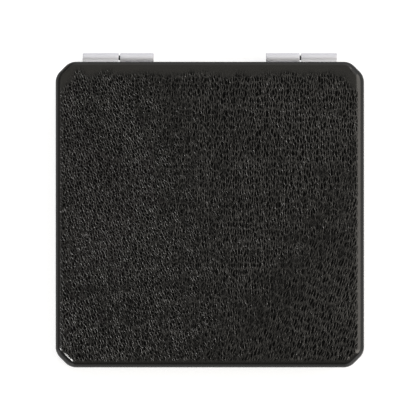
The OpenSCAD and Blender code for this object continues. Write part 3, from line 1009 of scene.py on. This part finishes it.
bright, tree, shader = new_finish("bright_nickel", (0.66, 0.64, 0.60), 0.18, metallic=1.0)
haze = noise_of(tree, 2.0, detail=4.0)
vary_roughness(tree, shader, haze, smooth=0.12, rough=0.3, span=(0.35, 0.7))
dress(bright, "base_magnets", "lid_strike_discs")

# %% [markdown]
# ### Mirrors
# A mirror is silver behind clear glass, and from the front it acts as one polished metal with a
# slightly green tint. Large faint wipe marks in the roughness keep it from looking computed.

# %% Silvered glass
silver, tree, shader = new_finish("silvered_glass", (0.90, 0.92, 0.915), 0.02, metallic=1.0)
wipes = noise_of(tree, 0.09, detail=5.0, stretch=(1, 0.4, 1))
vary_roughness(tree, shader, wipes, smooth=0.012, rough=0.07, span=(0.48, 0.75))
dress(silver, "base_magnifying_mirror", "lid_mirror")

# %% [markdown]
# ### Plastics and foam
# The frames are moulded with a polished face, and the trays under the leather are plain matte.
# The foam has small cells, which a Voronoi texture gives.

# %% Plastics and foam
FOAM_CELLS = 4.0

frame_face, tree, shader = new_finish("polished_black_plastic", (0.012, 0.012, 0.013), 0.2)
vary_roughness(tree, shader, noise_of(tree, 0.35, detail=3.0), smooth=0.16, rough=0.26)
bump_from(tree, shader, noise_of(tree, 3.0), 0.0015)
dress(frame_face, "base_frame", "lid_frame")

matte, tree, shader = new_finish("matte_black_plastic", (0.016, 0.016, 0.016), 0.6)
bump_from(tree, shader, noise_of(tree, 8.0), 0.01)
dress(matte, "base_tray", "lid_tray")

foam, tree, shader = new_finish("grey_foam", (0.2, 0.2, 0.2), 0.9)
cells = tree.nodes.new("ShaderNodeTexVoronoi")
cells.inputs["Scale"].default_value = FOAM_CELLS / MM
where = tree.nodes.new("ShaderNodeTexCoord")
tree.links.new(where.outputs["Object"], cells.inputs["Vector"])
bump_from(tree, shader, cells.outputs["Distance"], 0.05)
dress(foam, "base_padding", "lid_padding", "base_mirror_tape", "lid_mirror_tape")

# %% [markdown]
# ## The floor
# The photograph is a cut-out on white. A floor that is lit until it is white would throw that
# light back on the object. So the floor is a plain matte sheet, and only to the camera and in
# what metal and glass reflect it adds a light of its own. It still catches the shadow.

# %% Floor
FLOOR_HALF = 6.0
PAPER, PAPER_GLOW = (0.62, 0.62, 0.62), 0.62

floor_mesh = bpy.data.meshes.new("floor")
corners = [(x * FLOOR_HALF, y * FLOOR_HALF, 0) for x, y in ((-1, -1), (1, -1), (1, 1), (-1, 1))]
floor_mesh.from_pydata(corners, [], [(0, 1, 2, 3)])
floor = bpy.data.objects.new("floor", floor_mesh)
bpy.context.scene.collection.objects.link(floor)
paper, tree, shader = new_finish("pale_paper", PAPER, 0.9, Specular_IOR_Level=0.1)
shader.inputs["Emission Color"].default_value = (1, 1, 1, 1)
rays = tree.nodes.new("ShaderNodeLightPath").outputs
reflected = worked(tree, "MAXIMUM", rays["Is Glossy Ray"], rays["Is Transmission Ray"])
seen = worked(tree, "MAXIMUM", rays["Is Camera Ray"], reflected)
tree.links.new(ranged(tree, seen, 0, 1, 0, PAPER_GLOW), shader.inputs["Emission Strength"])
dress(paper, "floor")

# %% [markdown]
# ## The room
# An open mirror shows whatever stands round it, and in an empty world it would be a black hole.
# So the world is a pale room: a bright band along the horizon that fades upwards, and a glow
# from the back right. It could be a photographed room, but two gradients are enough here.

# %% World
GLOW_FROM = Vector((0.5, 0.8, 0.4)).normalized()
# Where each gradient starts and ends, and how bright it is there.
GLOW_RANGE = (0.5, 1.0, 0.08, 1.1)
HORIZON_RANGE = (0.03, 0.42, 1.0, 0.0)

bpy.context.scene.view_settings.view_transform = "Standard"
world = bpy.data.worlds.new("studio")
bpy.context.scene.world = world
world.use_nodes = True
tree = world.node_tree
sky = tree.nodes["Background"]
coords = tree.nodes.new("ShaderNodeTexCoord")
facing = tree.nodes.new("ShaderNodeVectorMath")
facing.operation = "DOT_PRODUCT"
facing.inputs[1].default_value = GLOW_FROM
axes = tree.nodes.new("ShaderNodeSeparateXYZ")
tree.links.new(coords.outputs["Generated"], facing.inputs[0])
tree.links.new(coords.outputs["Generated"], axes.inputs["Vector"])
side_glow = ranged(tree, facing.outputs["Value"], *GLOW_RANGE)
horizon = ranged(tree, axes.outputs["Z"], *HORIZON_RANGE)
tree.links.new(worked(tree, "MAXIMUM", side_glow, horizon), sky.inputs["Color"])
sky.inputs["Strength"].default_value = 1.0
print("world nodes:", len(tree.nodes))

# %% [markdown]
# ## The lamps
# The lamps stay at a level at which a grey card would render as grey as it is. A small crisp
# lamp at the front left draws the speckles on the grain, a broad warm one on the right lights
# the rolled edge, and a soft one at the back lights the far edge. The last one is hidden from
# reflections, so that the open mirrors show the room and not a white lamp.

# %% Lamps
LAMP_DISTANCE = 1.2


def lamp(name, azimuth, tilt, size, radiance, colour):
    """Area lamp that faces the object, `tilt` degrees from straight above.

    A lamp of area A needs 4 * A * radiance watts, by the way that Cycles counts them. One that
    is as wide as it is high is round.
    """
    data = bpy.data.lights.new(name, "AREA")
    is_round = size[0] == size[1]
    data.shape = "ELLIPSE" if is_round else "RECTANGLE"
    data.size, data.size_y = size
    area = size[0] * size[1] * (math.pi / 4 if is_round else 1)
    data.energy = 4 * area * radiance
    data.color = colour
    a, t = math.radians(azimuth), math.radians(tilt)
    towards = Vector((math.sin(t) * math.cos(a), math.sin(t) * math.sin(a), math.cos(t)))
    obj = bpy.data.objects.new(name, data)
    obj.location = towards * LAMP_DISTANCE
    obj.rotation_euler = towards.to_track_quat("Z", "Y").to_euler()
    obj.visible_camera = False
    bpy.context.scene.collection.objects.link(obj)
    level = radiance * area / LAMP_DISTANCE**2 * math.cos(t) / math.pi
    print(name, "watts:", round(data.energy, 2), "share of a card's light:", round(level, 2))
    return obj


lamp("crisp_front_left", 209, 42, (0.45, 0.2), 17, (1.0, 0.99, 0.97))
lamp("broad_right", 0, 50, (1.2, 1.2), 1.75, (1.0, 0.94, 0.86))
lamp("soft_back", 90, 56, (2.4, 1.3), 0.87, (1, 1, 1)).visible_glossy = False
